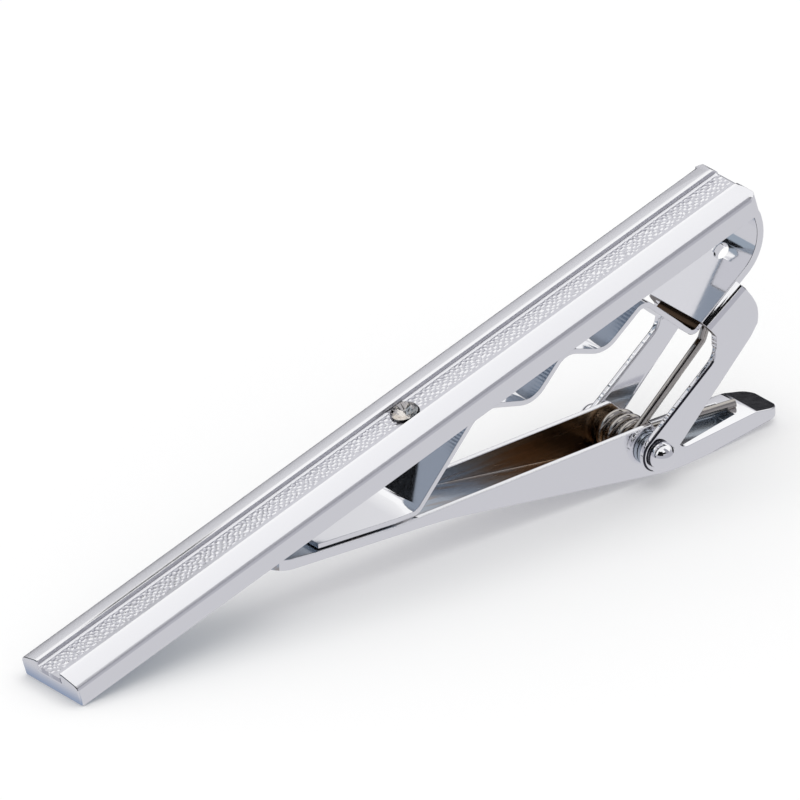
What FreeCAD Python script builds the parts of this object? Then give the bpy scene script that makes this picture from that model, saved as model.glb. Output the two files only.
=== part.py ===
import FreeCAD, Part
import math
import os
import re
import Sketcher
from FreeCAD import Placement, Rotation, Vector

# A tie clip: a grooved bar with a set stone, a wavy jaw leaf and a sprung lever on a riveted bracket.
# Millimetres and degrees. The bar's own frame has x from its free end to its hinge end, z up from its back.
# The lever's frame has the hinge pin's axis as its origin, with the table level below it.

SIZES = {
    # bar
    "bar_length": 58.85,
    "bar_width": 5.8,
    "bar_side_height": 1.5,
    "bevel_width": 1.45,
    "bevel_rise": 0.38,
    "land_width": 0.33,
    "end_round": 0.5,
    "end_corner_round": 0.6,
    # patterned strip in the groove
    "strip_recess": 0.33,
    "strip_thickness": 0.4,
    "strip_side_clearance": 0.02,
    # stone
    "stone_from_hinge_end": 28.2,
    "stone_lift": 0.2,
    "stone_radius": 0.93,
    "stone_table_radius": 0.52,
    "stone_crown_height": 0.36,
    "stone_pavilion_depth": 0.68,
    "stone_culet_radius": 0.12,
    "stone_seat_clearance": 0.03,
    # hinge bracket, bent from sheet
    "bracket_thickness": 0.55,
    "bracket_curl_width": 5.2,
    "foot_length": 4.6,
    "foot_bend_radius": 0.6,
    "foot_side_clearance": 0.05,
    "curl_corner_drop": 2.8,
    "curl_radius": 3.1,
    "curl_hole_radius": 0.56,
    "curl_hole_angle": 63.0,
    "plate_slope": 20.0,
    "plate_length": 6.63,
    "ear_outer_width": 6.36,
    "ear_bend_radius": 1.0,
    "ear_top_width": 3.3,
    "ear_neck_overhang": 0.05,
    "ear_neck_drop": 2.45,
    "ear_neck_radius": 1.4,
    "ear_shoulder_drop": 3.22,
    "ear_shoulder_reach": 1.18,
    "ear_shoulder_radius": 2.2,
    "ear_eye_radius": 1.28,
    "ear_slant": 27.0,
    # wavy jaw leaf
    "leaf_thickness": 0.35,
    "leaf_width": 4.0,
    "leaf_tab_length": 2.6,
    "leaf_valley_lead": 0.75,
    "leaf_valley_radius": 0.5,
    "crest_one_setback": 9.85,
    "crest_one_drop": 1.05,
    "crest_one_radius": 0.9,
    "dip_one_setback": 13.75,
    "dip_one_drop": 2.5,
    "dip_one_radius": 1.9,
    "crest_two_setback": 16.55,
    "crest_two_drop": 0.52,
    "crest_two_radius": 1.5,
    "dip_two_setback": 19.95,
    "dip_two_drop": 2.42,
    "dip_two_radius": 1.9,
    "crest_three_setback": 23.75,
    "crest_three_drop": 0.1,
    "crest_three_radius": 2.2,
    "leaf_heel_setback": 11.9,
    "leaf_heel_radius": 1.0,
    "jaw_clearance": 0.08,
    # hinge pin and spacers
    "pin_setback": 12.75,
    "pin_drop": 11.3,
    "pin_height": 2.23,
    "pin_radius": 0.75,
    "pin_head_radius": 0.98,
    "pin_head_height": 1.2,
    "pin_dome_radius": 0.93,
    "pin_ear_clearance": 0.01,
    "pin_turn_clearance": 0.04,
    "spacer_radius": 1.1,
    "spacer_side_clearance": 0.04,
    # lever, a channel with a thumb pad
    "lever_width": 4.5,
    "lever_wall": 0.4,
    "lever_floor": 0.42,
    "tip_reach": 31.0,
    "tip_bar_gap": 0.43,
    "tip_depth": 0.82,
    "tip_lip_thickness": 0.55,
    "tip_round": 1.5,
    "lever_knee_reach": 16.8,
    "lever_knee_height": 2.8,
    "lever_knee_radius": 40.0,
    "jaw_front_setback": 3.7,
    "jaw_front_bar_gap": 1.865,
    "jaw_rear_setback": 10.0,
    "jaw_rear_height": 3.72,
    "flange_top_height": 3.93,
    "flange_top_reach": 0.15,
    "flange_corner_radius": 0.3,
    "rest_start": 1.6,
    "rest_end": 5.1,
    "rest_blend_radius": 9.0,
    "thumb_start": 2.9,
    "thumb_start_height": 1.35,
    "thumb_start_radius": 0.8,
    "thumb_crease": 9.3,
    "thumb_crease_height": 1.56,
    "thumb_crease_radius": 1.5,
    "thumb_end": 11.6,
    "thumb_end_height": 1.1,
    "thumb_end_underside": 0.52,
    "thumb_end_edge_radius": 0.2,
    "thumb_end_width": 3.1,
    "thumb_round": 1.1,
    "recess_end": 8.13,
    "recess_end_width": 1.94,
    "recess_floor": 0.6,
    "channel_setback": 4.6,
    # torsion spring
    "wire_diameter": 0.43,
    "coil_mean_radius": 1.25,
    "coil_whole_turns": 3,
    "coil_side_clearance": 0.09,
    "upper_arm_slant": 41.0,
    "upper_arm_length": 7.7,
    "upper_arm_seat": 1.1,
    "upper_bend_radius": 0.7,
    "lower_bend_radius": 1.4,
    "lower_arm_slant": 6.0,
    "lower_arm_lead": 1.8,
    "lower_arm_reach": 8.75,
    "lower_arm_offset": -0.25,
    "arm_seat_clearance": 0.06,
}

DERIVED = {
    "bar_top": "bar_side_height + bevel_rise",
    "groove_half": "bar_width / 2 - bevel_width - land_width",
    "strip_top": "bar_top - strip_recess",
    "groove_floor": "strip_top - strip_thickness",
    "stone_x": "bar_length - stone_from_hinge_end",
    "girdle_height": "strip_top + stone_lift",
    "seat_radius": "stone_radius + stone_seat_clearance",
    "pin_x": "bar_length - pin_setback",
    # the table touches the bar's free end and runs pin_height below the pin
    "rest_tilt": "atan2(pin_drop; pin_x) + asin(pin_height / hypot(pin_x; pin_drop))",
    "pin_table_x": "pin_x * cos(rest_tilt) + pin_drop * sin(rest_tilt)",
    "curl_x": "bar_length - bracket_thickness / 2",
    "curl_centre_x": "curl_x - curl_radius",
    "curl_centre_z": "curl_radius * tan(45 - plate_slope / 2) - curl_corner_drop",
    "plate_end_x": "curl_x - plate_length * cos(plate_slope)",
    "plate_end_z": "-curl_corner_drop - plate_length * sin(plate_slope)",
    "tab_gap": "(bracket_thickness + leaf_thickness) / 2",
    "ear_half": "ear_outer_width / 2",
    "ear_inner": "ear_half - bracket_thickness",
    "ear_neck_x": "plate_end_x - ear_neck_overhang",
    "ear_top_x": "plate_end_x + ear_top_width * cos(plate_slope)",
    "ear_top_z": "plate_end_z + ear_top_width * sin(plate_slope)",
    "lever_half": "lever_width / 2",
    "channel_half": "lever_half - lever_wall",
    # the lever's tip stays under the leaning bar
    "bar_rise": "tan(rest_tilt)",
    "tip_lip_height": "(pin_table_x - tip_reach) * bar_rise - tip_bar_gap",
    "tip_underside": "tip_lip_height - tip_depth",
    "jaw_front_reach": "tip_reach - jaw_front_setback",
    "jaw_front_height": "(pin_table_x - jaw_front_reach) * bar_rise - jaw_front_bar_gap",
    "jaw_rear_reach": "tip_reach - jaw_rear_setback",
    "leaf_heel_reach": "tip_reach - leaf_heel_setback",
    "channel_start": "tip_reach - channel_setback",
    "leaf_lift": "jaw_clearance + leaf_thickness / 2",
    "spacer_length": "ear_inner - lever_half - 2 * spacer_side_clearance",
}

NAMES = set(SIZES) | set(DERIVED)

doc = FreeCAD.newDocument("tie_clip")
sizes = doc.addObject("Spreadsheet::Sheet", "Sizes")
for row, (name, value) in enumerate(SIZES.items(), start=1):
    sizes.set(f"A{row}", str(value))
    sizes.setAlias(f"A{row}", name)
derived = doc.addObject("Spreadsheet::Sheet", "Derived")


def bound(text):
    """Point each size named in an expression at its cell."""
    def cell(match):
        word = match.group(0)
        if word not in NAMES:
            return word
        return f"{'Sizes' if word in SIZES else 'Derived'}.{word}"
    return re.sub(r"[a-z_]+", cell, str(text))


for row, (name, text) in enumerate(DERIVED.items(), start=1):
    derived.set(f"A{row}", "=" + bound(text))
    derived.setAlias(f"A{row}", name)
doc.recompute()


def number(text):
    """Work out an expression from the cells."""
    value = derived.evalExpression(bound(text))
    return float(getattr(value, "Value", value))


def on_bar_x(ahead, height):
    """Place along the bar of a point given from the pin, at a height above the table."""
    return f"pin_x + ({ahead}) * cos(rest_tilt) + (({height}) - pin_height) * sin(rest_tilt)"


def on_bar_z(ahead, height):
    """Height over the bar's back of a point given from the pin, at a height above the table."""
    return f"-pin_drop - ({ahead}) * sin(rest_tilt) + (({height}) - pin_height) * cos(rest_tilt)"


def new_body(label):
    body = doc.addObject("PartDesign::Body", label)
    body.Label = label
    return body


def new_sketch(body, name, plane, offset="0"):
    """A sketch on one of the body's own origin planes, moved along that plane's normal."""
    sketch = body.newObject("Sketcher::SketchObject", name)
    origin_plane = next(item for item in body.Origin.OriginFeatures if item.Role == plane)
    sketch.AttachmentSupport = [(origin_plane, "")]
    sketch.MapMode = "FlatFace"
    sketch.setExpression("AttachmentOffset.Base.z", bound(offset))
    return sketch


def tilted_sketch(body, name, along, height, tilt):
    """A sketch across the clip at a point of its middle plane, its normal tilted up from the bar."""
    sketch = new_sketch(body, name, "YZ_Plane", along)
    sketch.setExpression("AttachmentOffset.Base.y", bound(height))
    sketch.setExpression("AttachmentOffset.Rotation.Axis.x", "1")
    sketch.setExpression("AttachmentOffset.Rotation.Axis.y", "0")
    sketch.setExpression("AttachmentOffset.Rotation.Axis.z", "0")
    sketch.setExpression("AttachmentOffset.Rotation.Angle", bound(f"-({tilt}) * 1deg"))
    return sketch


def hold(sketch, kind, geometry, position, text):
    """Tie one coordinate of a point to an expression."""
    index = sketch.addConstraint(
        Sketcher.Constraint(kind, -1, 1, geometry, position, number(text)))
    sketch.setExpression(f"Constraints[{index}]", bound(text))


def place(sketch, geometry, position, corner):
    hold(sketch, "DistanceX", geometry, position, corner[0])
    hold(sketch, "DistanceY", geometry, position, corner[1])


def outline(sketch, corners, closed=True):
    """Straight runs from corner to corner; a corner with a third value is rounded to that radius."""
    count = len(corners)
    spots = [Vector(number(corner[0]), number(corner[1]), 0) for corner in corners]
    leave, arrive, arcs = {}, {}, {}
    for index, corner in enumerate(corners):
        leave[index] = arrive[index] = spots[index]
        if len(corner) == 3:
            back = (spots[index - 1] - spots[index]).normalize()
            ahead = (spots[(index + 1) % count] - spots[index]).normalize()
            radius = number(corner[2])
            half = back.getAngle(ahead) / 2
            reach = radius / math.tan(half)
            arrive[index] = spots[index] + back * reach
            leave[index] = spots[index] + ahead * reach
            centre = spots[index] + (back + ahead).normalize() * (radius / math.sin(half))
            arcs[index] = (centre, radius, back.cross(ahead).z < 0)
    runs = range(count if closed else count - 1)
    lines = {}
    for index in runs:
        lines[index] = sketch.addGeometry(
            Part.LineSegment(leave[index], arrive[(index + 1) % count]), False)
    for index, corner in enumerate(corners):
        before = (index - 1) % count
        if index in arcs:
            centre, radius, left_turn = arcs[index]
            first, last = (arrive, leave) if left_turn else (leave, arrive)
            start = first[index] - centre
            end = last[index] - centre
            full_ring = Part.Circle(centre, Vector(0, 0, 1), radius)
            arc = sketch.addGeometry(Part.ArcOfCircle(
                full_ring, math.atan2(start.y, start.x), math.atan2(end.y, end.x)), False)
            point = sketch.addGeometry(Part.Point(spots[index]), True)
            place(sketch, point, 1, corner)
            sketch.addConstraint(Sketcher.Constraint("PointOnObject", point, 1, lines[before]))
            sketch.addConstraint(Sketcher.Constraint("PointOnObject", point, 1, lines[index]))
            near, far = (1, 2) if left_turn else (2, 1)
            sketch.addConstraint(Sketcher.Constraint("Tangent", lines[before], 2, arc, near))
            sketch.addConstraint(Sketcher.Constraint("Tangent", lines[index], 1, arc, far))
            size = sketch.addConstraint(Sketcher.Constraint("Radius", arc, radius))
            sketch.setExpression(f"Constraints[{size}]", bound(corner[2]))
            continue
        if index in lines:
            place(sketch, lines[index], 1, corner)
            if before in lines:
                sketch.addConstraint(
                    Sketcher.Constraint("Coincident", lines[before], 2, lines[index], 1))
        else:
            place(sketch, lines[before], 2, corner)


def circle(sketch, centre, radius):
    spot = Vector(number(centre[0]), number(centre[1]), 0)
    ring = sketch.addGeometry(Part.Circle(spot, Vector(0, 0, 1), number(radius)), False)
    place(sketch, ring, 3, centre)
    size = sketch.addConstraint(Sketcher.Constraint("Radius", ring, number(radius)))
    sketch.setExpression(f"Constraints[{size}]", bound(radius))


def extrude(body, kind, name, sketch, length, side="Symmetric", backward=False):
    """Pad or Pocket a sketch, evenly to both sides unless told otherwise."""
    feature = body.newObject(kind, name)
    feature.Profile = sketch
    feature.SideType = side
    feature.Reversed = backward
    feature.setExpression("Length", bound(length))
    doc.recompute()
    return feature


def cut_through(body, name, sketch, length, side="Symmetric", backward=False):
    """A Pocket that has to remove material."""
    before = body.Shape.Volume
    pocket = extrude(body, "PartDesign::Pocket", name, sketch, length, side, backward)
    if body.Shape.Volume >= before:
        raise RuntimeError(f"{body.Label}: {name} removed nothing")
    return pocket


def mirror(body, name, features):
    """Repeat features on the other side of the clip's middle plane."""
    middle = next(item for item in body.Origin.OriginFeatures if item.Role == "XZ_Plane")
    copy = body.newObject("PartDesign::Mirrored", name)
    copy.Originals = features
    copy.MirrorPlane = (middle, [""])
    body.Tip = copy
    doc.recompute()
    return copy


def round_hinge_end(body):
    """Round the top edge of the bar's hinge end, across the bar and the strip alike."""
    sketch = new_sketch(body, "end_round_line", "XZ_Plane")
    outline(sketch, [
        ("bar_length - 2 * end_round", "bar_top"),
        ("bar_length", "bar_top", "end_round"),
        ("bar_length", "bar_top - 2 * end_round"),
        ("bar_length + end_round", "bar_top - 2 * end_round"),
        ("bar_length + end_round", "bar_top + end_round"),
        ("bar_length - 2 * end_round", "bar_top + end_round"),
    ])
    cut_through(body, "end_rounding", sketch, "2 * bar_width")


def trim_plan(body, name, start, end, beyond, radius):
    """Cut a flat end to its plan: sides from start to end, given as reach and half width, round corners."""
    side_half = start[1]
    outer_half = f"{side_half} + {radius}"
    sketch = new_sketch(body, f"{name}_line", "XY_Plane")
    outline(sketch, [
        start,
        (*end, radius),
        (end[0], f"-({end[1]})", radius),
        (start[0], f"-({side_half})"),
        (start[0], f"-({outer_half})"),
        (beyond, f"-({outer_half})"),
        (beyond, outer_half),
        (start[0], outer_half),
    ])
    cut_through(body, name, sketch, "4 * flange_top_height")


def make_bar():
    """Long bar with bevelled sides, narrow lands and a groove along its face."""
    body = new_body("front_bar")
    section = new_sketch(body, "section", "YZ_Plane")
    right = [
        ("bar_width / 2", "0"),
        ("bar_width / 2", "bar_side_height"),
        ("groove_half + land_width", "bar_top"),
        ("groove_half", "bar_top"),
        ("groove_half", "groove_floor"),
    ]
    left = [(f"-({across})", height) for across, height in reversed(right)]
    outline(section, right + left)
    extrude(body, "PartDesign::Pad", "bar_length_pad", section, "bar_length", "One side")
    round_hinge_end(body)
    trim_plan(body, "end_corners", ("bar_length - 2 * end_corner_round", "bar_width / 2"),
              ("bar_length", "bar_width / 2"), "bar_length + end_corner_round", "end_corner_round")

    seat = new_sketch(body, "stone_seat_ring", "XY_Plane", "groove_floor")
    circle(seat, ("stone_x", "0"), "seat_radius")
    depth = "stone_pavilion_depth + stone_seat_clearance - strip_thickness - stone_lift"
    cut_through(body, "stone_seat", seat, depth, "One side")

    foot_half = "bracket_curl_width / 2 + foot_side_clearance"
    foot_start = "bar_length - foot_length - foot_side_clearance"
    pocket = new_sketch(body, "foot_pocket_line", "XY_Plane")
    outline(pocket, [
        (foot_start, f"-({foot_half})"),
        ("bar_length + end_round", f"-({foot_half})"),
        ("bar_length + end_round", foot_half),
        (foot_start, foot_half),
    ])
    cut_through(body, "foot_pocket", pocket, "bracket_thickness", "One side", backward=True)
    return body


def make_strip():
    """Strip that lies in the bar's groove and is drilled for the stone."""
    body = new_body("patterned_strip")
    half = "groove_half - strip_side_clearance"
    section = new_sketch(body, "section", "YZ_Plane")
    outline(section, [
        (f"-({half})", "groove_floor"),
        (half, "groove_floor"),
        (half, "strip_top"),
        (f"-({half})", "strip_top"),
    ])
    extrude(body, "PartDesign::Pad", "strip_length", section, "bar_length", "One side")
    round_hinge_end(body)
    hole = new_sketch(body, "stone_hole_ring", "XY_Plane", "strip_top")
    circle(hole, ("stone_x", "0"), "seat_radius")
    cut_through(body, "stone_hole", hole, "strip_thickness", "One side")
    return body


def make_stone():
    """Faceted stone: an eight-sided crown and pavilion that meet at the girdle."""
    body = new_body("crystal")
    facets = 8

    def ring(name, radius, height):
        sketch = new_sketch(body, name, "XY_Plane", height)
        turns = [360 * (step + 0.5) / facets for step in range(facets)]
        outline(sketch, [
            (f"stone_x + {radius} * cos({turn})", f"{radius} * sin({turn})") for turn in turns])
        return sketch

    girdle = ring("girdle", "stone_radius", "girdle_height")
    table = ring("table", "stone_table_radius", "girdle_height + stone_crown_height")
    culet = ring("culet", "stone_culet_radius", "girdle_height - stone_pavilion_depth")
    for name, far_ring in (("crown", table), ("pavilion", culet)):
        loft = body.newObject("PartDesign::AdditiveLoft", name)
        loft.Profile = girdle
        loft.Sections = [far_ring]
        loft.Ruled = True
        doc.recompute()
    return body


def make_bracket():
    """Bracket bent from one sheet: foot in the bar, curl round its end, sloped plate and two ears."""
    body = new_body("hinge_bracket")
    path = new_sketch(body, "sheet_path", "XZ_Plane")
    middle = "bracket_thickness / 2"
    outline(path, [
        ("bar_length - foot_length", middle),
        ("curl_x", middle, "foot_bend_radius"),
        ("curl_x", "-curl_corner_drop", "curl_radius"),
        ("plate_end_x", "plate_end_z"),
    ], closed=False)
    section = new_sketch(body, "sheet_section", "YZ_Plane", "bar_length - foot_length")
    outline(section, [
        ("-bracket_curl_width / 2", "0"),
        ("bracket_curl_width / 2", "0"),
        ("bracket_curl_width / 2", "bracket_thickness"),
        ("-bracket_curl_width / 2", "bracket_thickness"),
    ])
    sheet = body.newObject("PartDesign::AdditivePipe", "bent_sheet")
    sheet.Profile = section
    sheet.Spine = (path, [])
    doc.recompute()

    pilot = tilted_sketch(body, "curl_hole_ring", "curl_centre_x", "curl_centre_z", "-curl_hole_angle")
    circle(pilot, ("0", "0"), "curl_hole_radius")
    cut_through(body, "curl_hole", pilot, "curl_radius + bracket_thickness", "One side", backward=True)

    along_x = "cos(plate_slope)"
    along_z = "sin(plate_slope)"

    def on_plate(distance, lift):
        return (f"plate_end_x + ({distance}) * {along_x} - ({lift}) * {along_z}",
                f"plate_end_z + ({distance}) * {along_z} + ({lift}) * {along_x}")

    web_length = "ear_top_width + bracket_thickness / 2"
    top = "bracket_thickness / 2"
    leg_end = f"{top} - ear_bend_radius - bracket_thickness"
    inner_radius = "ear_bend_radius - bracket_thickness"
    web = tilted_sketch(body, "web_section", "plate_end_x", "plate_end_z", "plate_slope")
    outline(web, [
        ("-ear_half", leg_end),
        ("-ear_inner", leg_end),
        ("-ear_inner", f"-{top}", inner_radius),
        ("ear_inner", f"-{top}", inner_radius),
        ("ear_inner", leg_end),
        ("ear_half", leg_end),
        ("ear_half", top, "ear_bend_radius"),
        ("-ear_half", top, "ear_bend_radius"),
    ])
    extrude(body, "PartDesign::Pad", "ear_web", web, web_length, "One side")

    bend_line = "bracket_thickness / 2 - ear_bend_radius"
    ear = new_sketch(body, "ear_line", "XZ_Plane", "ear_inner")
    outline(ear, [
        on_plate("bracket_thickness / 2", bend_line),
        ("ear_neck_x", "plate_end_z - ear_neck_drop", "ear_neck_radius"),
        ("pin_x - ear_eye_radius * sin(ear_slant)", "-pin_drop + ear_eye_radius * cos(ear_slant)"),
        ("pin_x + ear_eye_radius * sin(ear_slant)", "-pin_drop - ear_eye_radius * cos(ear_slant)"),
        ("ear_top_x + ear_shoulder_reach", "ear_top_z - ear_shoulder_drop", "ear_shoulder_radius"),
        on_plate(web_length, leg_end),
    ])
    ear_pad = extrude(body, "PartDesign::Pad", "ear", ear, "bracket_thickness", "One side")
    eye = new_sketch(body, "eye_ring", "XZ_Plane", "ear_inner")
    circle(eye, ("pin_x", "-pin_drop"), "ear_eye_radius")
    eye_pad = extrude(body, "PartDesign::Pad", "ear_eye", eye, "bracket_thickness", "One side")
    mirror(body, "other_ear", [ear_pad, eye_pad])

    hole = new_sketch(body, "pin_hole_ring", "XZ_Plane")
    circle(hole, ("pin_x", "-pin_drop"), "pin_radius + pin_ear_clearance")
    cut_through(body, "pin_hole", hole, "2 * ear_outer_width")
    return body


def make_leaf():
    """Wavy jaw leaf: a tab under the bracket's plate, three crests and a flat jaw."""
    body = new_body("wavy_jaw")
    tab_way = ("cos(plate_slope)", "sin(plate_slope)")

    def on_tab(distance):
        return (f"plate_end_x + tab_gap * {tab_way[1]} + ({distance}) * {tab_way[0]}",
                f"plate_end_z - tab_gap * {tab_way[0]} + ({distance}) * {tab_way[1]}")

    def wave(name):
        return (f"bar_length - {name}_setback", f"-{name}_drop", f"{name}_radius")

    jaw_rear = ("-jaw_rear_reach", "jaw_rear_height + leaf_lift")
    jaw_front = ("-jaw_front_reach", "jaw_front_height + leaf_lift")
    heel = ("-leaf_heel_reach", "jaw_rear_height + leaf_lift")
    route = [
        on_tab("leaf_tab_length"),
        (*on_tab("-leaf_valley_lead"), "leaf_valley_radius"),
        wave("crest_one"),
        wave("dip_one"),
        wave("crest_two"),
        wave("dip_two"),
        wave("crest_three"),
        (on_bar_x(*heel), on_bar_z(*heel), "leaf_heel_radius"),
        (on_bar_x(*jaw_rear), on_bar_z(*jaw_rear)),
        (on_bar_x(*jaw_front), on_bar_z(*jaw_front)),
    ]
    path = new_sketch(body, "leaf_path", "XZ_Plane")
    outline(path, route, closed=False)
    section = tilted_sketch(body, "leaf_section", *on_tab("leaf_tab_length"), "plate_slope")
    outline(section, [
        ("-leaf_width / 2", "-leaf_thickness / 2"),
        ("leaf_width / 2", "-leaf_thickness / 2"),
        ("leaf_width / 2", "leaf_thickness / 2"),
        ("-leaf_width / 2", "leaf_thickness / 2"),
    ])
    leaf = body.newObject("PartDesign::AdditivePipe", "wavy_sheet")
    leaf.Profile = section
    leaf.Spine = (path, [])
    leaf.Transition = "Right corner"
    doc.recompute()
    return body


def make_lever():
    """Lever: a channel that tapers to the jaw, with a thumb pad behind the pin."""
    body = new_body("lever")

    def at(ahead, height, *radius):
        return (ahead, f"({height}) - pin_height", *radius)

    side = new_sketch(body, "side_line", "XZ_Plane")
    outline(side, [
        at("-tip_reach", "tip_underside"),
        at("-lever_knee_reach", "lever_knee_height", "lever_knee_radius"),
        at("rest_start", "0", "rest_blend_radius"),
        at("rest_end", "0", "rest_blend_radius"),
        at("thumb_end", "thumb_end_underside", "thumb_end_edge_radius"),
        at("thumb_end", "thumb_end_height", "thumb_end_edge_radius"),
        at("thumb_crease", "thumb_crease_height", "thumb_crease_radius"),
        at("thumb_start", "thumb_start_height", "thumb_start_radius"),
        at("flange_top_reach", "flange_top_height", "flange_corner_radius"),
        at("-jaw_rear_reach", "jaw_rear_height"),
        at("-jaw_front_reach", "jaw_front_height"),
        at("-tip_reach + tip_lip_thickness", "tip_lip_height"),
        at("-tip_reach", "tip_lip_height"),
    ])
    extrude(body, "PartDesign::Pad", "side_plate", side, "lever_width")

    knee_floor = "lever_knee_height + lever_floor"
    slope = "(lever_knee_height - tip_underside) / (tip_reach - lever_knee_reach)"
    channel = new_sketch(body, "channel_line", "XZ_Plane")
    start_floor = f"lever_knee_height + lever_floor - (channel_start - lever_knee_reach) * {slope}"
    outline(channel, [
        at("-channel_start", start_floor),
        at("-lever_knee_reach", knee_floor, "lever_knee_radius"),
        at("rest_start", "lever_floor", "rest_blend_radius"),
        at("thumb_start", "recess_floor"),
        at("thumb_start", "flange_top_height + lever_floor"),
        at("-channel_start", "jaw_front_height + lever_floor"),
    ])
    cut_through(body, "channel", channel, "2 * channel_half")

    recess = new_sketch(body, "thumb_recess_line", "XY_Plane", "recess_floor - pin_height")
    outline(recess, [
        ("thumb_start", "-channel_half"),
        ("recess_end", "-recess_end_width / 2"),
        ("recess_end", "recess_end_width / 2"),
        ("thumb_start", "channel_half"),
    ])
    cut_through(body, "thumb_recess", recess, "flange_top_height", "One side", backward=True)

    hole = new_sketch(body, "pin_hole_ring", "XZ_Plane")
    circle(hole, ("0", "0"), "pin_radius + pin_turn_clearance")
    cut_through(body, "pin_hole", hole, "2 * lever_width")

    trim_plan(body, "tip_corners", ("-tip_reach + 2 * tip_round", "lever_half"),
              ("-tip_reach", "lever_half"), "-tip_reach - tip_round", "tip_round")
    trim_plan(body, "thumb_taper", ("thumb_start", "lever_half"),
              ("thumb_end", "thumb_end_width / 2"), "thumb_end + thumb_round", "thumb_round")
    return body


def make_pin():
    """Riveted pin with a domed head outside each ear."""
    body = new_body("hinge_pin")
    half = new_sketch(body, "half_section", "XY_Plane")
    head_line = "ear_half"
    outline(half, [
        ("0", f"-({head_line} + pin_head_height)"),
        ("pin_head_radius", f"-({head_line} + pin_head_height)", "pin_dome_radius"),
        ("pin_head_radius", f"-({head_line})"),
        ("pin_radius", f"-({head_line})"),
        ("pin_radius", head_line),
        ("pin_head_radius", head_line),
        ("pin_head_radius", f"{head_line} + pin_head_height", "pin_dome_radius"),
        ("0", f"{head_line} + pin_head_height"),
    ])
    turned = body.newObject("PartDesign::Revolution", "turned_pin")
    turned.Profile = half
    turned.ReferenceAxis = (half, ["V_Axis"])
    turned.Angle = 360
    doc.recompute()
    return body


def make_spacer(label, start):
    """Ring on the pin between the lever and one ear."""
    body = new_body(label)
    ring = new_sketch(body, "ring_line", "XZ_Plane", start)
    circle(ring, ("0", "0"), "spacer_radius")
    circle(ring, ("0", "0"), "pin_radius + pin_turn_clearance")
    extrude(body, "PartDesign::Pad", "ring", ring, "spacer_length", "One side")
    return body


def arc_edge(start, middle_control, end):
    """Arc tangent at its start to the line towards the control point."""
    chord = end - start
    normal = (middle_control - start).cross(chord)
    if normal.Length < 1e-9:
        return Part.LineSegment(start, end).toShape()
    tangent = (middle_control - start).normalize()
    inward = normal.cross(tangent).normalize()
    radius = chord.Length ** 2 / (2 * chord.dot(inward))
    centre = start + inward * radius
    middle = centre + ((start + end) / 2 - centre).normalize() * radius
    return Part.Arc(start, middle, end).toShape()


def biarc(start, start_way, end, end_way):
    """Two arcs that leave start along start_way and reach end along end_way."""
    gap = end - start
    both = start_way + end_way
    square = 2 * (start_way.dot(end_way) - 1)
    cross = gap.dot(both)
    reach = (cross - math.sqrt(cross * cross - square * gap.dot(gap))) / square
    first = start + start_way * reach
    last = end - end_way * reach
    joint = (first + last) / 2
    return [arc_edge(start, first, joint), arc_edge(joint, joint + (last - first), end)]


def rounded_run(points, radius):
    """Straight runs with a tangent arc at each inner point."""
    edges = []
    here = points[0]
    for before, corner, after in zip(points, points[1:], points[2:]):
        back = (before - corner).normalize()
        ahead = (after - corner).normalize()
        reach = radius / math.tan(back.getAngle(ahead) / 2)
        arrive = corner + back * reach
        leave = corner + ahead * reach
        edges.append(Part.LineSegment(here, arrive).toShape())
        edges.append(arc_edge(arrive, corner, leave))
        here = leave
    edges.append(Part.LineSegment(here, points[-1]).toShape())
    return edges


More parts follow.
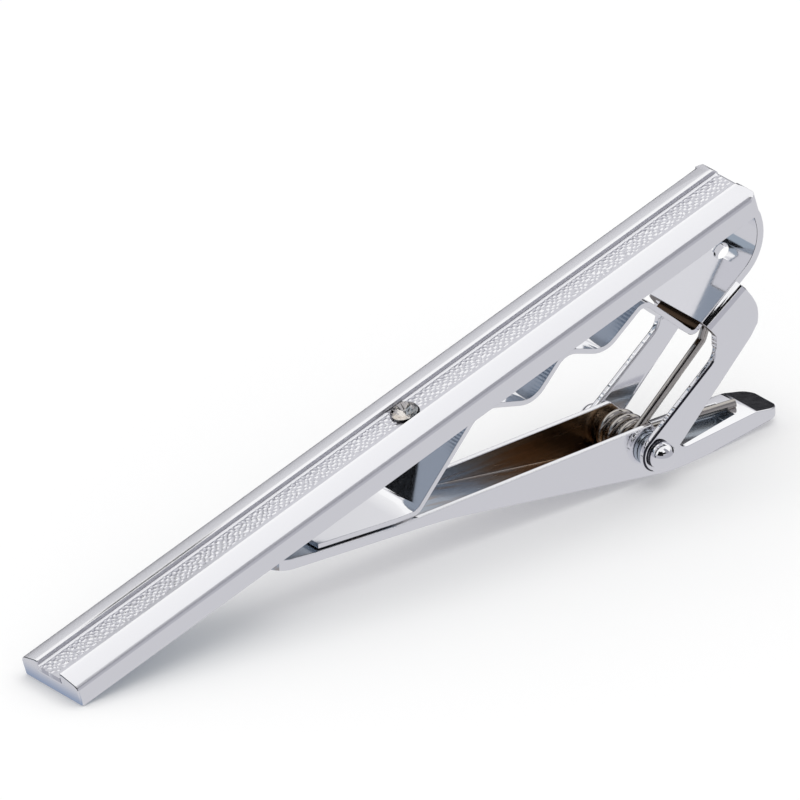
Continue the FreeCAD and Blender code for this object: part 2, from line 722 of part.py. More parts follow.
def make_spring():
    """Torsion spring round the pin: a seat under the leaf's tab, a coil and an arm along the lever."""
    wire_diameter = number("wire_diameter")
    coil = number("coil_mean_radius")
    half_length = number("channel_half - coil_side_clearance") - wire_diameter / 2
    up = math.radians(number("upper_arm_slant"))
    low = math.radians(number("lower_arm_slant"))
    first_turn = math.pi / 2 + up
    last_turn = 1.5 * math.pi + low + 2 * math.pi * number("coil_whole_turns")
    pieces = math.ceil((last_turn - first_turn) / (math.pi / 2))
    advance = 2 * half_length / (last_turn - first_turn)

    def on_coil(step):
        turn = first_turn + (last_turn - first_turn) * step / pieces
        across = -half_length + advance * (turn - first_turn)
        spot = Vector(coil * math.cos(turn), across, coil * math.sin(turn))
        rise = 0 if step in (0, pieces) else advance
        way = Vector(-coil * math.sin(turn), rise, coil * math.cos(turn)).normalize()
        return spot, way

    coil_start, start_way = on_coil(0)
    coil_end, end_way = on_coil(pieces)
    tilt = math.radians(number("rest_tilt"))
    drop = number("bracket_thickness / 2 + leaf_thickness + arm_seat_clearance") + wire_diameter / 2
    slope = math.radians(number("plate_slope"))
    seat_x = number("plate_end_x + upper_arm_seat * cos(plate_slope) - pin_x") + drop * math.sin(slope)
    seat_z = number("plate_end_z + upper_arm_seat * sin(plate_slope) + pin_drop") - drop * math.cos(slope)
    seat = Vector(seat_x * math.cos(tilt) - seat_z * math.sin(tilt), coil_start.y,
                  seat_x * math.sin(tilt) + seat_z * math.cos(tilt))
    elbow = coil_start - start_way * number("upper_arm_length")
    lead = coil_end + end_way * number("lower_arm_lead")
    thumb_rise = number("(thumb_crease_height - thumb_start_height) / (thumb_crease - thumb_start)")
    thumb_top = number("thumb_start_height") + thumb_rise * number("lower_arm_reach - thumb_start")
    arm_height = thumb_top + number("arm_seat_clearance - pin_height") + wire_diameter / 2
    arm_end = Vector(number("lower_arm_reach"), number("lower_arm_offset"), arm_height)

    edges = rounded_run([seat, elbow, coil_start], number("upper_bend_radius"))
    for step in range(pieces):
        edges += biarc(*on_coil(step), *on_coil(step + 1))
    edges += rounded_run([coil_end, lead, arm_end], number("lower_bend_radius"))
    path = Part.Wire(edges)
    start_edge = edges[0]
    ring = Part.Wire([Part.Circle(seat, start_edge.tangentAt(0), wire_diameter / 2).toShape()])
    shell = Part.BRepOffsetAPI.MakePipeShell(path)
    shell.add(ring)
    shell.build()
    shell.makeSolid()
    solid = shell.shape()

    spacing = wire_diameter / 4
    points = path.discretize(Distance=spacing)
    apart = int(math.pi * coil / spacing)
    least = min(points[one].distanceToPoint(points[other])
                for one in range(len(points)) for other in range(one + apart, len(points)))
    print(f"torsion spring: least gap to itself {least - wire_diameter:.3f} mm")
    swept = math.pi * wire_diameter ** 2 / 4 * path.Length
    print(f"torsion spring: volume {solid.Volume:.3f}, section times length {swept:.3f} mm3")

    spring = doc.addObject("Part::Feature", "torsion_spring")
    spring.Label = "torsion_spring"
    spring.Shape = solid
    return spring


bar_pieces = [make_bar(), make_strip(), make_stone(), make_bracket(), make_leaf()]
pin_pieces = [
    make_lever(),
    make_pin(),
    make_spacer("front_spacer", "lever_half + spacer_side_clearance"),
    make_spacer("rear_spacer", "-(lever_half + spacer_side_clearance + spacer_length)"),
    make_spring(),
]

# The clip lies on the table: the bar leans on its free end, the lever rests under the pin.
lean = Rotation(Vector(0, -1, 0), number("rest_tilt"))
for piece in bar_pieces:
    piece.Placement = Placement(Vector(0, 0, 0), lean)
for piece in pin_pieces:
    piece.Placement = Placement(Vector(number("pin_table_x"), 0, number("pin_height")), Rotation())
doc.recompute()

# The origin is the middle of the clip's footprint, at table level.
pieces = bar_pieces + pin_pieces
reach = FreeCAD.BoundBox()
for piece in pieces:
    reach.add(piece.Shape.optimalBoundingBox(False))
to_middle = Placement(Vector(-(reach.XMin + reach.XMax) / 2, 0, -reach.ZMin), Rotation())
for piece in pieces:
    piece.Placement = to_middle * piece.Placement
doc.recompute()

for item in doc.Objects:
    if "Invalid" in item.State or "Error" in item.State:
        raise RuntimeError(f"{item.Label} failed: {item.State}")
for piece in pieces:
    if piece.Shape.isNull() or not piece.Shape.isValid() or len(piece.Shape.Solids) != 1:
        raise RuntimeError(f"{piece.Label} is not one valid solid")

os.makedirs("parts", exist_ok=True)
for piece in pieces:
    piece.Shape.exportStep(f"parts/{piece.Label}.step")
    print(f"{piece.Label}: {piece.Shape.Volume:.3f} mm3")
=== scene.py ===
"""Looks of a sprung tie clip: plated bar, pebbled strip, stone, wavy jaw, lever, pin and spring."""

import math

import bmesh
import bpy
from bpy.props import FloatProperty, PointerProperty, StringProperty
from mathutils import Matrix, Quaternion, Vector, noise


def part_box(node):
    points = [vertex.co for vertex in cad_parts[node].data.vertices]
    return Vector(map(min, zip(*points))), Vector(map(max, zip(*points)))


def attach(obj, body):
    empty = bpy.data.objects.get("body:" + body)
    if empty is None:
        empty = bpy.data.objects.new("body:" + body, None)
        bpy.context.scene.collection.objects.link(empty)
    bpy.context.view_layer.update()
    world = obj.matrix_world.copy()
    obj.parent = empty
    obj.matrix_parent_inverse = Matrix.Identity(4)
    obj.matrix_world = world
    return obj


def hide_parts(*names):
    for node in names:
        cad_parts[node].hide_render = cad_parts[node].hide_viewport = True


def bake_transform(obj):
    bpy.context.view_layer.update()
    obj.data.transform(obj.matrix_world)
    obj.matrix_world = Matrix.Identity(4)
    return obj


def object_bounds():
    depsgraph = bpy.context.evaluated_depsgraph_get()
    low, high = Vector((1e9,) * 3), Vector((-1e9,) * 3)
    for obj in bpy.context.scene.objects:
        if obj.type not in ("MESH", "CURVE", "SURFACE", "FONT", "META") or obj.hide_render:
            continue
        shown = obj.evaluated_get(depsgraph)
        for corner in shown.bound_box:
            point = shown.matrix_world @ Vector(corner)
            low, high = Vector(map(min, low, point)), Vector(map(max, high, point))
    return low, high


bl_info = {
    "name": "Tie clip",
    "version": (1, 0, 0),
    "blender": (4, 5, 0),
    "location": "3D View > Sidebar > Tie Clip",
    "description": "Builds the plated tie clip on its solids, piece by piece",
    "category": "Object",
}

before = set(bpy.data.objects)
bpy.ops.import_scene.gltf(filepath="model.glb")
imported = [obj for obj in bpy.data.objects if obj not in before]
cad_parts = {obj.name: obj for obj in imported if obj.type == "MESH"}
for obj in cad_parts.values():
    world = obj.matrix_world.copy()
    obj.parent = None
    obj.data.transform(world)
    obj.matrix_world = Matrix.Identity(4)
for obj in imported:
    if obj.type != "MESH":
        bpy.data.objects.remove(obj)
SOLID_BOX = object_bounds()
MM = 0.001
PIN_LOW, PIN_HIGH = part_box("hinge_pin")
PIN = (PIN_LOW + PIN_HIGH) / 2
PEBBLE_SEED = 7
SKY_RADIUS = 0.5


class TieClipSizes(bpy.types.PropertyGroup):
    """Sizes of the shapes that are finer than the solids."""
    bar_tilt: FloatProperty(
        name="Bar tilt", description="Lean of the bar on the table",
        default=math.radians(16.466), subtype="ANGLE")
    bar_length: FloatProperty(
        name="Bar length", description="Length of the bar along its face",
        default=58.85 * MM, unit="LENGTH")
    bar_top: FloatProperty(
        name="Bar height", description="Height of the bar's lands over its back",
        default=1.88 * MM, unit="LENGTH")
    edge_round: FloatProperty(
        name="Edge round", description="Buffed rounding of the plated edges",
        default=0.04 * MM, unit="LENGTH")
    side_round: FloatProperty(
        name="Side round", description="Rounding between the bar's bevels and its sides",
        default=0.38 * MM, unit="LENGTH")
    sheet_round: FloatProperty(
        name="Sheet round", description="Rounding of the edges of the bent sheet",
        default=0.1 * MM, unit="LENGTH")
    ear_round: FloatProperty(
        name="Ear round", description="Rounding of the edges of the bracket's ears",
        default=0.2 * MM, unit="LENGTH")
    strip_width: FloatProperty(
        name="Strip width", description="Width of the pebbled strip",
        default=2.2 * MM, unit="LENGTH")
    strip_recess: FloatProperty(
        name="Strip recess", description="Drop from the lands to the strip's smooth margins",
        default=0.33 * MM, unit="LENGTH")
    strip_thickness: FloatProperty(
        name="Strip thickness", description="Thickness of the strip under its margins",
        default=0.4 * MM, unit="LENGTH")
    rear_margin: FloatProperty(
        name="Rear margin", description="Smooth border along the strip's rear side",
        default=0.2 * MM, unit="LENGTH")
    front_margin: FloatProperty(
        name="Front margin", description="Smooth border along the strip's front side",
        default=0.6 * MM, unit="LENGTH")
    margin_rise: FloatProperty(
        name="Margin rise", description="Slope of the strip's rear border up to the groove's wall",
        default=math.radians(16), subtype="ANGLE")
    pebble_pitch: FloatProperty(
        name="Pebble pitch", description="Spacing of the pebbles along a row",
        default=0.5 * MM, unit="LENGTH")
    pebble_row: FloatProperty(
        name="Pebble row", description="Distance from a row of pebbles to the next, staggered row",
        default=0.235 * MM, unit="LENGTH")
    pebble_rise: FloatProperty(
        name="Pebble rise", description="Height of a pebble's top over the strip's middle level",
        default=0.026 * MM, unit="LENGTH")
    stone_from_end: FloatProperty(
        name="Stone place", description="Distance of the stone from the bar's hinge end",
        default=28.2 * MM, unit="LENGTH")
    stone_radius: FloatProperty(
        name="Stone radius", description="Radius of the stone at its girdle",
        default=0.93 * MM, unit="LENGTH")
    stone_lift: FloatProperty(
        name="Stone lift", description="Height of the stone's girdle over the strip",
        default=0.2 * MM, unit="LENGTH")
    ball_radius: FloatProperty(
        name="Pin ball radius", description="Radius of the half ball on the pin's heads",
        default=0.95 * MM, unit="LENGTH")
    neck_radius: FloatProperty(
        name="Pin neck radius", description="Radius of the neck under the half ball",
        default=0.88 * MM, unit="LENGTH")
    neck_height: FloatProperty(
        name="Pin neck height", description="Height of the neck under the half ball",
        default=0.25 * MM, unit="LENGTH")
    pin_radius: FloatProperty(
        name="Pin radius", description="Radius of the pin's shank", default=0.75 * MM, unit="LENGTH")
    wire: FloatProperty(
        name="Spring wire", description="Diameter of the spring's wire", default=0.6 * MM, unit="LENGTH")
    coil_radius: FloatProperty(
        name="Coil radius", description="Radius of the coil at the wire's middle",
        default=1.25 * MM, unit="LENGTH")
    coil_half: FloatProperty(
        name="Coil half length", description="Distance of the coil's ends from the middle plane",
        default=1.5 * MM, unit="LENGTH")
    coil_start: FloatProperty(
        name="Coil start", description="Turn at which the upper arm leaves the coil",
        default=math.radians(131), subtype="ANGLE")
    coil_end: FloatProperty(
        name="Coil end", description="Turn at which the lower arm leaves the coil",
        default=math.radians(1356), subtype="ANGLE")


class TieClipFinishes(bpy.types.PropertyGroup):
    """Colours of the finishes and of the stage."""
    plate: StringProperty(
        name="Plate", description="Bright nickel-chrome plate", default="#F9F9FB")
    hollow: StringProperty(
        name="Hollows", description="Dull plate between the strip's pebbles", default="#D2D2D8")
    groove: StringProperty(
        name="Groove", description="Plate on the groove's walls, which the buff can't reach",
        default="#EEEEF2")
    back: StringProperty(
        name="Back", description="Dull plate on the bar's back", default="#AFBAC6")
    bare: StringProperty(
        name="Thin plate", description="Plate inside the channel, where it is thin and dull",
        default="#AD957C")
    # painted shade: a dark brown for the bracket's cut end and for the leaf just under it
    painted_brown_shade: StringProperty(
        name="Painted brown shade", description="Painted shade: dark brown on the bracket's cut end and on the leaf under it", default="#4A3B2E")
    # painted light: a dark colour for reflections on rounded edges and for shade in the pin's neck
    rolled: StringProperty(
        name="Painted dark line", description="Painted dark reflection on rounded edges and painted shade in the pin's neck",
        default="#3C3C44")
    wire: StringProperty(
        name="Wire", description="Nickelled spring wire", default="#BDB8B2")
    foil: StringProperty(
        name="Foil", description="Lacquered foil on the stone's back", default="#EFEAE4")
    steel: StringProperty(
        name="Steel", description="Steel of the spacers and of the channel's far end", default="#B9C1CA")
    glass: StringProperty(
        name="Glass", description="Cut glass of the stone", default="#FFFFFF")
    paper: StringProperty(
        name="Paper", description="Pale table under the clip", default="#FAFAFA")
    cloth: StringProperty(
        name="Cloth", description="Dark cloth that the metal mirrors", default="#0A0A0C")
    apron: StringProperty(
        name="Front sheet", description="Grey sheet in front of the clip", default="#B0B0B8")
    side: StringProperty(
        name="Side sheet", description="Darker grey sheet beside the front sheet", default="#96969E")
    back_sheet: StringProperty(
        name="Back sheet", description="Blue-grey sheet behind the clip", default="#97A2AF")
    curtain: StringProperty(
        name="Curtain", description="Pale curtain behind the clip", default="#DADADE")
    card: StringProperty(
        name="Card", description="Grey card under the clip", default="#CBCBD0")
    shade: StringProperty(
        name="Shade", description="Shade on the card at the bar's free end", default="#8E9BB3")


def linear(text):
    """sRGB hex text to a linear colour."""
    values = [int(text[start:start + 2], 16) / 255 for start in (1, 3, 5)]
    return [value / 12.92 if value <= 0.04045 else ((value + 0.055) / 1.055) ** 2.4 for value in values] + [1]


def add_node(tree, kind, values=None, links=None, **settings):
    """Add a node, give its settings and its sockets' values, and link its inputs."""
    node = tree.nodes.new(kind)
    for name, value in settings.items():
        setattr(node, name, value)
    for socket, value in (values or {}).items():
        node.inputs[socket].default_value = value
    for socket, source in (links or {}).items():
        tree.links.new(source, node.inputs[socket])
    return node


def new_finish(name):
    """An empty node material and its tree."""
    finish = bpy.data.materials.new(name)
    finish.use_nodes = True
    finish.node_tree.nodes.clear()
    return finish, finish.node_tree


def plated(name, colour, roughness, tilt=0, tone=None, relief=None):
    """Nickel-chrome plate, buffed: a near mirror with faint buffing lines along the piece."""
    finish, tree = new_finish(name)
    place = add_node(tree, "ShaderNodeTexCoord")
    axes = add_node(tree, "ShaderNodeMapping", {"Rotation": (0, tilt, 0)},
                    {"Vector": place.outputs["Object"]})
    # buffing lines about 0.05 mm apart and 2 mm long, drawn three times coarser so that they show
    stretch = add_node(tree, "ShaderNodeMapping", {"Scale": (0.06, 1, 1)}, {"Vector": axes.outputs["Vector"]})
    lines = add_node(tree, "ShaderNodeTexNoise", {"Scale": 1 / (0.15 * MM), "Detail": 3},
                     {"Vector": stretch.outputs["Vector"]})
    rough = add_node(tree, "ShaderNodeMapRange", {"To Min": roughness * 0.6, "To Max": roughness * 1.5},
                     {"Value": lines.outputs["Fac"]})
    bump = add_node(tree, "ShaderNodeBump", {"Strength": 0.02, "Distance": 0.01 * MM},
                    {"Height": lines.outputs["Fac"]})
    if relief:
        bump = relief(tree, axes, bump)
    shader = add_node(tree, "ShaderNodeBsdfPrincipled", {"Base Color": linear(colour), "Metallic": 1},
                      {"Roughness": rough.outputs["Result"], "Normal": bump.outputs["Normal"]})
    if tone:
        tree.links.new(tone(tree, axes), shader.inputs["Base Color"])
    add_node(tree, "ShaderNodeOutputMaterial", None, {"Surface": shader.outputs["BSDF"]})
    return finish


def round_over(shape, edges, width):
    """Round edges over to the given width."""
    bmesh.ops.bevel(shape, geom=edges, offset=width, offset_type="OFFSET", segments=4, profile=0.5,
                    affect="EDGES", material=-1, clamp_overlap=False)


def joined_copy(node):
    """A solid's mesh with its loose triangles joined into flat faces."""
    shape = bmesh.new()
    shape.from_mesh(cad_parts[node].data)
    bmesh.ops.remove_doubles(shape, verts=shape.verts, dist=0.0005 * MM)
    bmesh.ops.dissolve_limit(shape, angle_limit=math.radians(0.3), verts=shape.verts, edges=shape.edges)
    return shape


def corners(shape, least=25):
    """The edges where two faces meet at more than the least angle, in degrees."""
    return [edge for edge in shape.edges if edge.calc_face_angle(0) > math.radians(least)]


def settle(shape, name, finish, sharp=30):
    """Make an object of a shape, smooth up to the given angle."""
    mesh = bpy.data.meshes.new(name)
    shape.to_mesh(mesh)
    shape.free()
    mesh.shade_smooth()
    mesh.set_sharp_from_angle(angle=math.radians(sharp))
    mesh.materials.append(finish)
    piece = bpy.data.objects.new(name, mesh)
    bpy.context.scene.collection.objects.link(piece)
    return piece


def even_shading(piece):
    """Let the large flat faces set the shading of the rounded edges between them."""
    weighted = piece.modifiers.new("even shading", "WEIGHTED_NORMAL")
    weighted.keep_sharp = True


def on_bar(sizes):
    """Turn and place from the bar's own frame to the table's."""
    corner = Vector((SOLID_BOX[0].x + sizes.bar_top * math.sin(sizes.bar_tilt), 0, 0))
    return Matrix.Translation(corner) @ Matrix.Rotation(-sizes.bar_tilt, 4, "Y")


def back_teeth(tree, axes, before):
    """Fine lines pressed across the bar's back, 0.26 mm apart, that hold the tie."""
    teeth = add_node(tree, "ShaderNodeTexWave", {"Scale": 0.314 / (0.26 * MM), "Distortion": 0.6},
                     {"Vector": axes.outputs["Vector"]}, bands_direction="X")
    return add_node(tree, "ShaderNodeBump", {"Strength": 0.8, "Distance": 0.05 * MM},
                    {"Height": teeth.outputs["Fac"], "Normal": before.outputs["Normal"]})


class TIECLIP_OT_front_bar(bpy.types.Operator):
    """Plated bar with bevelled sides, narrow lands and a groove"""
    bl_idname = "tie_clip.front_bar"
    bl_label = "Front bar"

    def execute(self, context):
        sizes = context.scene.tie_clip_sizes
        finishes = context.scene.tie_clip_finishes
        outside = plated("nickel-chrome plate, buffed bar", finishes.plate, 0.17, sizes.bar_tilt)
        # the buff can't reach the groove's walls: a shade darker, blurring what they mirror
        walls = plated("nickel-chrome plate, unbuffed groove", finishes.groove, 0.4, sizes.bar_tilt)
        # bluish and dull, with a fine hatch
        back = plated("nickel plate, hatched back", finishes.back, 0.2, sizes.bar_tilt, relief=back_teeth)
        # painted reflection: a thin dark line along the free end's upper edge
        rim = plated("nickel plate, painted dark reflection on the end edge", finishes.rolled, 0.25, sizes.bar_tilt)
        shape = joined_copy("front_bar")
        lean = on_bar(sizes)
        upright = lean.inverted()
        # the back is parted just before the bracket's foot, so the arms beside it are faces of their own
        foot_length = 4.5 * MM
        foot_start = Vector((sizes.bar_length - foot_length, 0, 0))
        bmesh.ops.bisect_plane(
            shape, geom=shape.verts[:] + shape.edges[:] + shape.faces[:], dist=0.0001 * MM,
            plane_co=lean @ foot_start, plane_no=lean.to_3x3() @ Vector((1, 0, 0)))
        half_width = 2.9 * MM
        side_low, side_high = 1.4 * MM, 1.6 * MM
        hair = 0.01 * MM

        def on_side_edge(vert):
            return abs(abs(vert.co.y) - half_width) < hair and side_low < (upright @ vert.co).z < side_high

        outer = [edge for edge in corners(shape, 60) if all(on_side_edge(vert) for vert in edge.verts)]
        round_over(shape, outer, sizes.side_round)
        end = [edge for edge in corners(shape) if all((upright @ vert.co).x < hair for vert in edge.verts)]
        round_over(shape, end, 3 * sizes.edge_round)
        round_over(shape, corners(shape), sizes.edge_round)
        shape.normal_update()
        groove_half = sizes.strip_width / 2 + 0.1 * MM
        end_depth = 0.2 * MM
        for face in shape.faces:
            middle = upright @ face.calc_center_median()
            facing = upright.to_3x3() @ face.normal
            if abs(middle.y) < groove_half and abs(face.normal.y) > 0.5:
                face.material_index = 1
            if facing.z < -0.9:
                face.material_index = 2
            # painted reflection on the end's upper edge
            if -0.7 < facing.x < -0.4 and facing.z > 0.3 and middle.x < end_depth:
                face.material_index = 3
        bar = settle(shape, "plated_bar", outside)
        for finish in (walls, back, rim):
            bar.data.materials.append(finish)
        even_shading(bar)
        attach(bar, "frame")
        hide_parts("front_bar")
        return {"FINISHED"}


def pebble_height(along, across, sizes):
    """Height of the pebbled face at a spot: staggered pebbles and pits, rolled a little unevenly."""
    sway = noise.noise_vector(Vector((along, across, 0)) / (0.48 * MM))
    turn_along = 2 * math.pi * (along / sizes.pebble_pitch + 0.45 * sway.x)
    turn_across = math.pi * (across / sizes.pebble_row + 0.6 * sway.y)
    return sizes.pebble_rise * (1 + 0.7 * sway.z) * math.cos(turn_along) * math.cos(turn_across)


class TIECLIP_OT_patterned_strip(bpy.types.Operator):
    """Strip with rows of rolled pebbles, drilled for the stone"""
    bl_idname = "tie_clip.patterned_strip"
    bl_label = "Patterned strip"

    def execute(self, context):
        sizes = context.scene.tie_clip_sizes
        half = sizes.strip_width / 2
        top = sizes.bar_top - sizes.strip_recess
        stone = Vector((sizes.bar_length - sizes.stone_from_end, 0, top))
        stone_gap = 0.07 * MM
        hole = sizes.stone_radius + stone_gap
        rear, front = half - sizes.rear_margin, -half + sizes.front_margin
        end_slope = 0.17 * MM
        shape = bmesh.new()
        lay = Matrix.Translation((sizes.bar_length / 2, 0, top)) @ Matrix.Diagonal(
            (sizes.bar_length / 2, half, 1, 1))
        # cells of 0.05 mm, ten to a pebble
        bmesh.ops.create_grid(shape, x_segments=1180, y_segments=44, size=1, matrix=lay)
        # unseeded noise would give other pebbles in each run
        noise.seed_set(PEBBLE_SEED)
        for vert in shape.verts:
            if front < vert.co.y < rear:
                vert.co.z += pebble_height(vert.co.x, vert.co.y, sizes)
            elif vert.co.y >= rear:
                vert.co.z += (vert.co.y - rear) * math.tan(sizes.margin_rise)
            before_end = sizes.bar_length - vert.co.x
            if before_end < end_slope:
                vert.co.z = min(vert.co.z, top - end_slope + before_end)
        for face in shape.faces:
            middle = face.calc_center_median()
            if middle.y < rear and middle.z < top + 0.2 * sizes.pebble_rise:
                face.material_index = 1
        inside = [vert for vert in shape.verts if (vert.co.xy - stone.xy).length < hole]
        bmesh.ops.delete(shape, geom=inside, context="VERTS")
        rim = [vert for vert in shape.verts
               if vert.is_boundary and (vert.co.xy - stone.xy).length < 1.3 * hole]
        for vert in rim:
            vert.co.xy = stone.xy + (vert.co.xy - stone.xy).normalized() * hole
        # the underside is flat, one face before the stone and one after it
        under = bmesh.ops.extrude_face_region(shape, geom=shape.faces[:], use_keep_orig=True)["geom"]
        for item in under:
            if isinstance(item, bmesh.types.BMVert):
                item.co.z = top - sizes.strip_thickness
        flat = [item for item in under if isinstance(item, bmesh.types.BMFace)]
        halves = [[face for face in flat if (face.calc_center_median().x < stone.x) == before]
                  for before in (True, False)]
        for faces in halves:
            bmesh.ops.dissolve_faces(shape, faces=faces)
        bmesh.ops.recalc_face_normals(shape, faces=shape.faces)
        bmesh.ops.transform(shape, matrix=on_bar(sizes), verts=shape.verts)
        finishes = context.scene.tie_clip_finishes
        tops = plated("nickel-chrome plate, burnished pebbles", finishes.plate, 0.2, sizes.bar_tilt)
        # grey and soft between the bright pebbles
        hollows = plated("nickel-chrome plate, dull hollows", finishes.hollow, 0.3, sizes.bar_tilt)
        strip = settle(shape, "pebbled_strip", tops, 50)
        strip.data.materials.append(hollows)
        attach(strip, "frame")
        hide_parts("patterned_strip")
        return {"FINISHED"}


class TIECLIP_OT_crystal(bpy.types.Operator):
    """Round brilliant stone in the strip"""
    bl_idname = "tie_clip.crystal"
    bl_label = "Crystal"

    def execute(self, context):
        sizes = context.scene.tie_clip_sizes
        finishes = context.scene.tie_clip_finishes
        radius = sizes.stone_radius
        # radius and height of each ring of corners, with how many corners and their turn in steps of 1/16
        rings = ((0.56, 0.36, 8, 1), (0.8, 0.222, 8, 0), (1.0, 0.02, 16, 0), (1.0, -0.02, 16, 0),
                 (0.3, -0.454, 8, 0), (0.02, -0.62, 8, 1))
        shape = bmesh.new()
        for ring_radius, height, count, turn in rings:
            lift = Matrix.Translation((0, 0, height * radius)) @ Matrix.Rotation(turn * math.pi / 8, 4, "Z")
            bmesh.ops.create_circle(shape, segments=count, radius=ring_radius * radius, matrix=lift)
        bmesh.ops.delete(shape, geom=shape.edges[:], context="EDGES_FACES")
        bmesh.ops.convex_hull(shape, input=shape.verts)
        bmesh.ops.dissolve_limit(shape, angle_limit=math.radians(1), verts=shape.verts, edges=shape.edges)
        bmesh.ops.recalc_face_normals(shape, faces=shape.faces)
        seat = Matrix.Translation((sizes.bar_length - sizes.stone_from_end, 0,
                                   sizes.bar_top - sizes.strip_recess + sizes.stone_lift))
        bmesh.ops.transform(shape, matrix=on_bar(sizes) @ seat, verts=shape.verts)
        # cut glass: clear, sharp facets, a bright mirror on each
        finish, tree = new_finish("cut glass, polished facets")
        shader = add_node(tree, "ShaderNodeBsdfPrincipled", {
            "Base Color": linear(finishes.glass), "Roughness": 0.01, "IOR": 1.56, "Transmission Weight": 1})
        add_node(tree, "ShaderNodeOutputMaterial", None, {"Surface": shader.outputs["BSDF"]})
        # foil under lacquer: a warm mirror behind the glass, a little uneven
        foil = plated("foil backing, lacquered", finishes.foil, 0.06)
        up = Vector((-math.sin(sizes.bar_tilt), 0, math.cos(sizes.bar_tilt)))
        for face in shape.faces:
            if face.normal.dot(up) < -0.1:
                face.material_index = 1
        stone = settle(shape, "cut_stone", finish, 1)
        stone.data.materials.append(foil)
        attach(stone, "frame")
        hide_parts("crystal")
        return {"FINISHED"}


def shear_marks(tree, axes, before):
    """Ticks left by the shear on the cut edges of the ears, about 0.3 mm apart."""
    ears_top = PIN.z + 7.2 * MM
    place = add_node(tree, "ShaderNodeTexCoord")
    parts = add_node(tree, "ShaderNodeSeparateXYZ", None, {"Vector": place.outputs["Object"]})
    low = add_node(tree, "ShaderNodeMath", {1: ears_top}, {0: parts.outputs["Z"]}, operation="LESS_THAN")
    flat = add_node(tree, "ShaderNodeMapping", {"Scale": (1, 0.15, 1)}, {"Vector": axes.outputs["Vector"]})
    grain = add_node(tree, "ShaderNodeTexNoise", {"Scale": 1 / (0.5 * MM), "Detail": 1},
                     {"Vector": flat.outputs["Vector"]})
    ticks = add_node(tree, "ShaderNodeMapRange", {"From Min": 0.5, "From Max": 0.62},
                     {"Value": grain.outputs["Fac"]})
    normal = add_node(tree, "ShaderNodeSeparateXYZ", None, {"Vector": place.outputs["Normal"]})
    side = add_node(tree, "ShaderNodeMath", None, {0: normal.outputs["Y"]}, operation="ABSOLUTE")
    edge = add_node(tree, "ShaderNodeMath", {1: 0.3}, {0: side.outputs["Value"]}, operation="LESS_THAN")
    cut = add_node(tree, "ShaderNodeMath", None, {0: low.outputs["Value"], 1: edge.outputs["Value"]},
                   operation="MULTIPLY")
    depth = add_node(tree, "ShaderNodeMath", None, {0: ticks.outputs["Result"], 1: cut.outputs["Value"]},
                     operation="MULTIPLY")
    return add_node(tree, "ShaderNodeBump", {"Strength": 1, "Distance": 0.08 * MM},
                    {"Height": depth.outputs["Value"], "Normal": before.outputs["Normal"]})


class TIECLIP_OT_hinge_bracket(bpy.types.Operator):
    """Bracket bent from sheet, with its curl and ears"""
    bl_idname = "tie_clip.hinge_bracket"
    bl_label = "Hinge bracket"

    def execute(self, context):
        sizes = context.scene.tie_clip_sizes
        finishes = context.scene.tie_clip_finishes
        tilt = sizes.bar_tilt
        finish = plated("nickel-chrome plate, bent sheet", finishes.plate, 0.08, tilt, relief=shear_marks)
        # painted shade: the plate's cut end drawn dark brown and dull
        painted_brown_shade = plated("painted brown shade on the plate's cut end", finishes.painted_brown_shade, 0.3, tilt)
        # the shear rolled these edges over; the dark line on them is a painted reflection
        rolled = plated("nickel plate, painted dark reflection on rounded edges", finishes.rolled, 0.25, tilt)
        ear_inside = 2.62 * MM
        ear_top = PIN.z + 6.6 * MM
        shape = joined_copy("hinge_bracket")
        ears = [edge for edge in corners(shape)
                if all(abs(vert.co.y) > ear_inside and vert.co.z < ear_top for vert in edge.verts)]
        round_over(shape, ears, sizes.ear_round)
        round_over(shape, corners(shape), 0.35 * sizes.sheet_round)
        shape.normal_update()
        slope = tilt + math.radians(20)
        upright = on_bar(sizes).inverted()
        # places from the pin: the plate's cut end, the ears' part with the painted dark reflection, and the
        # curl
        plate_end = 4.6 * MM
        plate_low, plate_high = 7.3 * MM, 8.2 * MM
        painted_line_top = 5.2 * MM
        curl_low = 9 * MM
        curl_start = sizes.bar_length - 2.2 * MM
        for face in shape.faces:
            place = face.calc_center_median()
            middle = place - PIN
            ahead = face.normal.x * math.cos(slope) + face.normal.z * math.sin(slope)
            # painted shade on the plate's cut end
            at_cut_end = middle.x < plate_end and plate_low < middle.z < plate_high
            if ahead < -0.7 and at_cut_end and abs(middle.y) < ear_inside:
                face.material_index = 1
            # painted reflection: a dark line on the rounded edges of the ears and the curl
            outward = face.normal.y * math.copysign(1, middle.y)
            on_ear = abs(middle.y) > ear_inside and middle.z < painted_line_top
            in_curl = (upright @ place).x > curl_start and middle.z > curl_low
            if 0.25 < outward < 0.9 and face.normal.x < -0.2 and (on_ear or in_curl):
                face.material_index = 2
        bracket = settle(shape, "bent_bracket", finish)
        bracket.data.materials.append(painted_brown_shade)
        bracket.data.materials.append(rolled)
        even_shading(bracket)
        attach(bracket, "frame")
        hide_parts("hinge_bracket")
        return {"FINISHED"}


